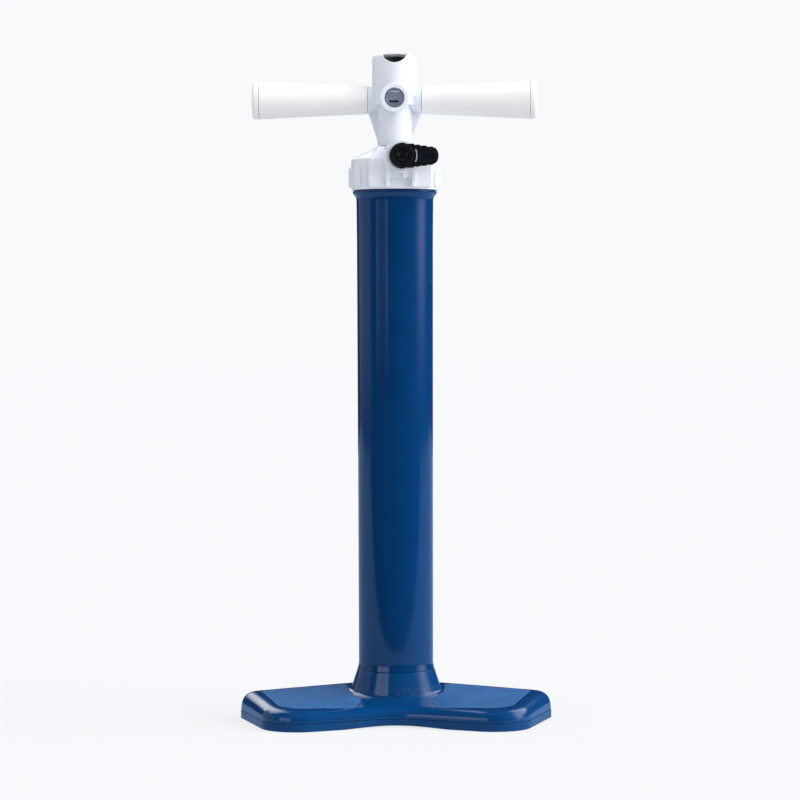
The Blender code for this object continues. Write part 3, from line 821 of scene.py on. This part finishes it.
HUB_R = 20.2
HUB_BOTTOM = extent("hub")[0].z
HUB_TOP = extent("hub")[1].z
ARM_Z = middle("grip_right").z
ARM_END = extent("grip_right")[0].x - GAP
GRIP_END = extent("grip_right")[1].x
GRIP_OUTER_R = extent("grip_right")[1].z - ARM_Z
HANDLE_HALF = extent("grip_cap_right")[1].x
PORT_Z = middle("port_insert").z
PORT_BORE_R = extent("port_insert")[1].x + GAP
HUB_SCREW_Z = middle("hub_screw").z
HUB_SHOULDER_Z = 562
NECK_R = 15.5
ARM_R = 12.6
STUB_R = 9.3
STUB_BORE_R = 6.5
STUB_END = 95
GAUGE_ROOM_R = 15.5
GAUGE_ROOM_FLOOR = 588
GAUGE_STEM_R = 4.3
ROD_SOCKET_R = 11.3
ROD_SOCKET_TOP = 550
NOTCH_R = 12.4
NOTCH_Z = 612.4  # the notch's axis is above the hub, so it shows the gauge through a half-moon
PORT_RING_R = 13.5
PORT_FACE = 24.5
PORT_SEAT = 11.5
HOSE_HOLE_R = 3.5
# The hub screw's hole as radius and distance behind the axis
BOLT_HOLE = [(0, 20), (3.9, 20), (3.9, 13.3), (2.2, 13.3), (2.2, 9), (0, 9)]
# Half of the web that joins the arms to the neck, from the arms' line downwards
GUSSET = [(24.3, 0), (24.3, -11.5), (15.2, -38.5)]
GUSSET_HALF = 2.2


def make_hub(material):
    """The middle of the T-handle: a body notched for the gauge, arm stubs, a web and the hose port's ring."""
    body = [
        (0, HUB_TOP),
        (HUB_R - 3, HUB_TOP, 0),
        (HUB_R, HUB_TOP - 2.8, 4.0),
        (HUB_R, HUB_SHOULDER_Z, 1.0),
        (NECK_R, HUB_SHOULDER_Z, 0.8),
        (NECK_R, HUB_BOTTOM, 0.6),
        (0, HUB_BOTTOM),
    ]
    hub = to_object("hub_moulding", lathe(body, 0.5, 144))
    arm = [(0, -2), (10, -2), (10, 15), (ARM_R, ARM_END), (STUB_R, ARM_END), (STUB_R, STUB_END)]
    arm += [(STUB_BORE_R, STUB_END), (STUB_BORE_R, 32), (0, 32)]
    for side in (RIGHTWARD, LEFTWARD):
        join(hub, lathe(arm, 0.3, 72), at(z=ARM_Z) @ side)
    gusset = [(-x, z) for x, z in GUSSET] + GUSSET[::-1]
    join(hub, extrusion(gusset, -GUSSET_HALF, GUSSET_HALF), at(z=ARM_Z) @ FORWARD)
    port_place = at(z=PORT_Z) @ FORWARD
    ring = [(0, 0), (PORT_RING_R, 0), (PORT_RING_R, PORT_FACE, 1.3), (0, PORT_FACE)]
    join(hub, lathe(ring, 0.5, 96), port_place)
    bore = [
        (0, 614),
        (GAUGE_ROOM_R, 614),
        (GAUGE_ROOM_R, GAUGE_ROOM_FLOOR),
        (6.3, GAUGE_ROOM_FLOOR),
        (6.3, 585.5),
        (GAUGE_STEM_R, 585.5),
        (GAUGE_STEM_R, ROD_SOCKET_TOP),
        (ROD_SOCKET_R, ROD_SOCKET_TOP),
        (ROD_SOCKET_R, 520),
        (0, 520),
    ]
    cut(hub, lathe(bore, 0.1, 96))
    cut(hub, rod(NOTCH_R, 12, 25, 0.1, 96), at(z=NOTCH_Z) @ FORWARD)
    cut(hub, lathe(BOLT_HOLE, 0.1, 40), at(z=HUB_SCREW_Z) @ BACKWARD)
    port = [(0, 30), (PORT_BORE_R, 30), (PORT_BORE_R, PORT_SEAT), (HOSE_HOLE_R, PORT_SEAT)]
    port += [(HOSE_HOLE_R, 1), (0, 1)]
    cut(hub, lathe(port, 0.1, 80), port_place)
    mould(hub, 0.34, 3, 0.5)
    finish(hub, material, "handle", ["hub"], 60, 0)


PORT_WALL_BACK = 11.8
PORT_WALL_FACE = 14
AIR_SLOT = ((-5.0, -20, 563.7), (3.6, -12.6, 566.0))
AIR_SLIT = ((-1.2, -20, 561.4), (-0.3, -13.2, 564))
PORT_LEDGE = ((-5, -15.4, 573.2), (5, -14.1, 574.5))
# The black block in the air slot, painted shadow for the dark opening behind it
PORT_SLOT_SHADE = ((-4.8, -13.2, 563.9), (3.4, -12.7, 565.8))


def make_port(materials):
    """The wall at the back of the hose port, grey as painted shade, with a ledge across it in the hub's white
    and a black block in its air slot as painted shadow.
    """
    place = at(z=PORT_Z) @ FORWARD
    # The wall is grey for the shade deep in the port; the ledge across it is in the hub's white
    wall = to_object("port_wall", rod(PORT_BORE_R - GAP, PORT_WALL_BACK, PORT_WALL_FACE, 0.2, 80), place)
    cut(wall, block(*AIR_SLOT))
    cut(wall, block(*AIR_SLIT))
    finish(wall, materials["grey"], "handle", ["port_insert"])
    ledge = to_object("port_ledge", block(*PORT_LEDGE))
    finish(ledge, materials["hub"], "handle")
    # A black block fills the air slot: painted shadow for the dark opening behind it
    slot_shade = to_object("port_slot_shade", block(*PORT_SLOT_SHADE))
    finish(slot_shade, materials["rubber"], "handle")


GRIP_WAIST_R = 12.9
GRIP_BORE_R = 9.6
GRIP_FLARE_POWER = 1.15  # 1 would be a straight cone
PLUG_END = 112


def make_grips(material):
    """Hollow grips that flare outwards, each with a plugged end cap."""
    stations = 12
    flare = []
    for k in range(stations + 1):
        share = 1 - k / stations
        radius = GRIP_WAIST_R + (GRIP_OUTER_R - GRIP_WAIST_R) * share**GRIP_FLARE_POWER
        flare.append((radius, ARM_END + GAP + (GRIP_END - ARM_END - GAP) * share, 0.0))
    flare[0] = (*flare[0][:2], 0.35)
    flare[-1] = (*flare[-1][:2], 0.6)
    grip = [(GRIP_BORE_R, GRIP_END)] + flare + [(GRIP_BORE_R, ARM_END + GAP)]
    end_cap = [(0, HANDLE_HALF), (GRIP_OUTER_R, HANDLE_HALF, 3.2), (GRIP_OUTER_R, GRIP_END + GAP, 0.35)]
    end_cap += [(STUB_R, GRIP_END + GAP), (STUB_R, PLUG_END), (0, PLUG_END)]
    for side, turn in (("left", LEFTWARD), ("right", RIGHTWARD)):
        sleeve = to_object(f"grip_sleeve_{side}", lathe(grip, 0.3, 128), at(z=ARM_Z) @ turn)
        finish(sleeve, material, "handle", [f"grip_{side}"])
        plug = to_object(f"grip_end_{side}", lathe(end_cap, 0.3, 128), at(z=ARM_Z) @ turn)
        finish(plug, material, "handle", [f"grip_cap_{side}"])


ROD_WALL = 2.5


def make_rod(material):
    low, high = extent("piston_rod")
    bore = high.x - ROD_WALL
    profile = [(bore, low.z), (high.x, low.z), (high.x, high.z), (bore, high.z)]
    tube = to_object("rod_tube", lathe(profile, 0.6, 96))
    finish(tube, material, "handle", ["piston_rod"])


# ---------------------------------------------------------------- gauge

DIAL_TOP = extent("gauge_dial")[1].z
DIAL_SWEEP = 270
DIAL_START = 225 + 180
DIAL_DIVISIONS = 30
DIVISIONS_PER_NUMERAL = 5
MARKS_R = 12.2
NUMERALS_R = 8.4
NUMERAL_SIZE = 2.5
INK = 0.03


def dial_angle(division):
    return radians(DIAL_START - DIAL_SWEEP * division / DIAL_DIVISIONS)


def scale_marks():
    """Scale divisions and plain numerals for the dial."""
    bm = bmesh.new()
    for k in range(DIAL_DIVISIONS + 1):
        major = k % DIVISIONS_PER_NUMERAL == 0
        length = 2.0 if major else 1.1
        half = 0.16 if major else 0.08
        mark = block((MARKS_R - length, -half, DIAL_TOP - 0.05), (MARKS_R, half, DIAL_TOP + 0.06))
        mark.transform(Matrix.Rotation(dial_angle(k), 4, "Z"))
        mesh = bpy.data.meshes.new("mark")
        mark.to_mesh(mesh)
        mark.free()
        bm.from_mesh(mesh)
        bpy.data.meshes.remove(mesh)
    for k in range(0, DIAL_DIVISIONS + 1, DIVISIONS_PER_NUMERAL):
        angle = dial_angle(k)
        text = bpy.data.curves.new("numeral", "FONT")
        text.body = str(k)
        text.size = NUMERAL_SIZE * MM
        text.extrude = INK * MM
        text.align_x = "CENTER"
        text.align_y = "CENTER"
        holder = bpy.data.objects.new("numeral", text)
        bpy.context.scene.collection.objects.link(holder)
        graph = bpy.context.evaluated_depsgraph_get()
        mesh = bpy.data.meshes.new_from_object(holder.evaluated_get(graph))
        mesh.transform(at(NUMERALS_R * cos(angle), NUMERALS_R * sin(angle), DIAL_TOP + INK))
        bm.from_mesh(mesh)
        bpy.data.objects.remove(holder)
    return bm


CASE_BORE_R = 13.2
CASE_FLOOR = 592
DIAL_HOLE_R = 1.3


def make_gauge(materials):
    low, high = extent("gauge_case")
    case = [(CASE_BORE_R, high.z), (high.x, high.z), (high.x, low.z), (GAUGE_STEM_R, low.z)]
    case += [(GAUGE_STEM_R, CASE_FLOOR), (CASE_BORE_R, CASE_FLOOR)]
    body = to_object("gauge_body", lathe(case, 0.4, 96))
    finish(body, materials["black"], "handle", ["gauge_case"])
    low, high = extent("gauge_dial")
    disc = [(DIAL_HOLE_R, low.z), (high.x, low.z), (high.x, high.z), (DIAL_HOLE_R, high.z)]
    face = to_object("gauge_face", lathe(disc, 0.1, 96))
    finish(face, materials["dial"], "handle", ["gauge_dial"])
    finish(to_object("gauge_scale", scale_marks()), materials["ink"], "handle")
    low, high = extent("gauge_lens")
    lens = [(0, low.z), (high.x, low.z), (high.x, high.z - 1.2, 0.5)]
    lens += [(high.x - 1.9, high.z - 0.4, 2.0), (0, high.z)]
    glass = to_object("gauge_glass", lathe(lens, 0.2, 96))
    finish(glass, materials["lens"], "handle", ["gauge_lens"])


# ---------------------------------------------------------------- screws


# Half outlines of the two kinds of screw, each from its head to its tip
FOOT_SCREW = [(0, 0.9), (3.3, 0.9), (3.9, 1.4), (3.9, 2.9, 0.1), (1.9, 2.9), (1.9, 17.5), (0, 18.5)]
HUB_BOLT = [(0, 15.2), (3.1, 15.1), (3.6, 14.6), (3.6, 13.6, 0.1), (1.9, 13.6), (1.9, 9.4), (0, 9.4)]


def make_screws(material):
    """Four screws up into the foot from below, and one in the back of the hub's neck."""
    for number, (x, y) in enumerate(SCREW_PLACES, 1):
        screw = to_object(f"foot_screw_{number}", lathe(FOOT_SCREW, 0.15, 48), at(x, y))
        cross_recess(screw, 2.3, 0.5, -2, 2.1, at(x, y))
        finish(screw, material, "barrel", [f"base_screw_{number}"])
    place = at(z=HUB_SCREW_Z) @ BACKWARD
    screw = to_object("hub_bolt", lathe(HUB_BOLT, 0.15, 48), place)
    cross_recess(screw, 2.1, 0.5, 14.1, 18, place)
    finish(screw, material, "handle", ["hub_screw"])


# ---------------------------------------------------------------- carried-over pieces

CARRIED = {
    "grey": ["cylinder_foot", "foot_valve_cage", "rod_bush", "piston_body", "piston_crown"],
    "rubber": [
        "foot_oring",
        "foot_valve_disc",
        "cap_gasket",
        "rod_seal",
        "bumper",
        "selector_oring",
        "piston_seal",
        "piston_valve_disc",
        "gauge_oring",
    ],
    "cap": ["selector_plug"],
    "rod": ["piston_nut"],
    "brass": ["gauge_stem", "bourdon_tube"],
    "black": ["gauge_needle"],
}


def dress_carried(materials):
    for key, names in CARRIED.items():
        for name in names:
            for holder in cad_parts[name].material_slots:
                holder.material = materials[key]


# ---------------------------------------------------------------- studio

PALE = (0.939, 0.947, 0.965, 1.0)
KEY_DIRECTION = (0.93, -0.12, 0.34)
KEY_STRENGTH = 6.45
KEY_EDGE = (0.75, 0.99)  # the key fades out between these cosines of the angle from its direction
DOME_STRENGTH = 0.36
DOME_RISE = (0.1, 0.95)  # the dome brightens between these heights, each the sine of an elevation
DOME_TOP_STRENGTH = 1.5
GLOSS_AMBIENT = 0.02
LIGHT_COLOUR = (0.97, 0.985, 1.0, 1.0)
PANEL_TOP_SOFTNESS = 0.05
# Panels round the pump that only the gloss sees. Azimuths are in degrees from the front, and positive to the
# right; heights are sines of elevations. Each row gives the left and right azimuths and their softness, the
# lowest height and its softness, the highest height, and the strength.
GLOSS_PANELS = [
    (-59, -21, 1.2, -0.012, 0.02, 0.5, 0.16),  # front left, the whole window
    (-29, -21, 1.2, -0.012, 0.02, 0.5, 0.34),  # its brighter right edge
    (-59, -49, 1.2, -0.012, 0.02, 0.5, 0.3),  # its brighter left edge
    (-140, -78, 3, -0.03, 0.03, 0.6, 0.34),  # left and behind
    (73, 101, 12, 0.005, 0.04, 0.6, 1.6),  # right, the softbox
    (-59, -24, 1.5, 0.12, 0.03, 0.62, 1.1),  # front left, raised off the floor
    (-172, -146, 4, 0.3, 0.06, 0.62, 2.4),  # behind, a little left
    (-168, -120, 6, 0.6, 0.06, 0.84, 3.0),  # behind left, high
    (84, 160, 6, 0.42, 0.1, 0.84, 2.2),  # right and behind, high
]


def make_world():
    """Studio surroundings: a dome with a soft key from the right for matt light, and panels for the gloss.

    The camera sees an even pale backdrop instead of either.
    """
    world = bpy.data.worlds.new("studio")
    bpy.context.scene.world = world
    world.use_nodes = True
    world.cycles.sampling_method = "NONE"
    tree = world.node_tree
    tree.nodes.clear()
    nodes = Nodes(tree)
    output = nodes.add("ShaderNodeOutputWorld")
    direction = nodes.add("ShaderNodeTexCoord").outputs["Generated"]
    split = nodes.add("ShaderNodeSeparateXYZ")
    nodes.link(direction, split.inputs[0])
    x, y, z = split.outputs
    azimuth = nodes.math("ARCTAN2", x, nodes.math("MULTIPLY", y, -1.0))
    azimuth = nodes.math("MULTIPLY", azimuth, 180 / pi)

    def panel(left, right, softness, low, low_softness, high, strength):
        """One row of GLOSS_PANELS."""
        lit = nodes.math("MULTIPLY", nodes.ramp(azimuth, left - softness, left + softness), strength)
        lit = nodes.math("MULTIPLY", lit, nodes.ramp(azimuth, right - softness, right + softness, 1.0, 0.0))
        lit = nodes.math("MULTIPLY", lit, nodes.ramp(z, low - low_softness, low + low_softness))
        top = nodes.ramp(z, high - PANEL_TOP_SOFTNESS, high + PANEL_TOP_SOFTNESS, 1.0, 0.0)
        return nodes.math("MULTIPLY", lit, top)

    gloss = GLOSS_AMBIENT
    for shape in GLOSS_PANELS:
        gloss = nodes.math("ADD", panel(*shape), gloss)
    key = nodes.add("ShaderNodeVectorMath", operation="DOT_PRODUCT")
    nodes.link(direction, key.inputs[0])
    key.inputs[1].default_value = Vector(KEY_DIRECTION).normalized()
    matt = nodes.ramp(key.outputs["Value"], *KEY_EDGE, 0.0, KEY_STRENGTH)
    matt = nodes.math("ADD", matt, nodes.ramp(z, *DOME_RISE, DOME_STRENGTH, DOME_TOP_STRENGTH))
    strength = nodes.add("ShaderNodeMix", data_type="FLOAT")
    path = nodes.add("ShaderNodeLightPath")
    nodes.link(path.outputs["Is Glossy Ray"], strength.inputs[0])
    nodes.link(matt, strength.inputs[2])
    nodes.link(gloss, strength.inputs[3])
    seen = nodes.add("ShaderNodeBackground")
    seen.inputs["Color"].default_value = PALE
    lit = nodes.add("ShaderNodeBackground")
    lit.inputs["Color"].default_value = LIGHT_COLOUR
    nodes.link(strength.outputs[0], lit.inputs["Strength"])
    choice = nodes.add("ShaderNodeMixShader")
    nodes.link(path.outputs["Is Camera Ray"], choice.inputs[0])
    nodes.link(lit.outputs[0], choice.inputs[1])
    nodes.link(seen.outputs[0], choice.inputs[2])
    nodes.link(choice.outputs[0], output.inputs[0])


def stage_plane(name, front, half, drop, material):
    """A level sheet under the pump, from its front edge back, with its top a little under the floor's."""
    bm = bmesh.new()
    corners = [(-half, front), (half, front), (half, half), (-half, half)]
    bm.faces.new([bm.verts.new((x * MM, y * MM, -drop * MM)) for x, y in corners])
    plane = to_object(name, bm)
    plane.data.materials.append(material)
    return plane


def glowing(name, colour, strength, paper=None):
    """An even glow, with or without a paper that takes shadows."""
    material = bpy.data.materials.new(name)
    material.use_nodes = True
    tree = material.node_tree
    tree.nodes.clear()
    nodes = Nodes(tree)
    output = nodes.add("ShaderNodeOutputMaterial")
    glow = nodes.add("ShaderNodeEmission")
    glow.inputs["Color"].default_value = colour
    glow.inputs["Strength"].default_value = strength
    surface_out = glow.outputs[0]
    if paper:
        diffuse = nodes.add("ShaderNodeBsdfDiffuse")
        diffuse.inputs["Color"].default_value = paper
        total = nodes.add("ShaderNodeAddShader")
        nodes.link(glow.outputs[0], total.inputs[0])
        nodes.link(diffuse.outputs[0], total.inputs[1])
        surface_out = total.outputs[0]
    nodes.link(surface_out, output.inputs[0])
    return material


FLOOR_HALF = 20000
FLOOR_GLOW = 0.79  # with the paper's own light, this makes the floor as bright as the backdrop
FLOOR_PAPER = (0.12, 0.12, 0.122, 1.0)
REFLECTED_COLOUR = (0.44, 0.62, 0.9, 1.0)
REFLECTED_GLOW = 0.75
SHEET_FRONT = -560
SHEET_HALF = 5000
SHEET_DROP = 0.2


def make_floor():
    """A pale floor, even in tone but for a faint soft shadow, and a dimmer sheet that only the gloss sees."""
    paper = glowing("floor_paper", PALE, FLOOR_GLOW, FLOOR_PAPER)
    floor = stage_plane("floor", -FLOOR_HALF, FLOOR_HALF, 0.0, paper)
    floor.visible_glossy = False
    reflected = glowing("floor_reflected", REFLECTED_COLOUR, REFLECTED_GLOW)
    sheet = stage_plane("floor_reflection", SHEET_FRONT, SHEET_HALF, SHEET_DROP, reflected)
    sheet.visible_camera = False
    sheet.visible_diffuse = False


CAMERA_PLACE = (0.0043, -2.659, 0.368)  # metres
CAMERA_DOWN = 1.645  # degrees below level
CAMERA_ROLL = -0.15
LENS = 130.05
SENSOR = 36


def make_camera():
    camera = bpy.data.cameras.new("camera")
    camera.lens = LENS
    camera.sensor_width = SENSOR
    camera.clip_start = 0.05
    holder = bpy.data.objects.new("camera", camera)
    bpy.context.scene.collection.objects.link(holder)
    tilt = Matrix.Rotation(radians(90 - CAMERA_DOWN), 4, "X")
    holder.matrix_world = Matrix.Translation(CAMERA_PLACE) @ tilt @ spun(CAMERA_ROLL)
    bpy.context.scene.camera = holder


def build():
    materials = make_materials()
    make_foot(materials)
    make_barrel(materials["barrel"])
    make_cap(materials["cap"])
    make_selector(materials)
    make_hub(materials["hub"])
    make_port(materials)
    make_grips(materials["grip"])
    make_rod(materials["rod"])
    make_gauge(materials)
    make_screws(materials["steel"])
    dress_carried(materials)
    make_world()
    make_floor()
    make_camera()
    bpy.context.scene.view_settings.view_transform = "Standard"


build()
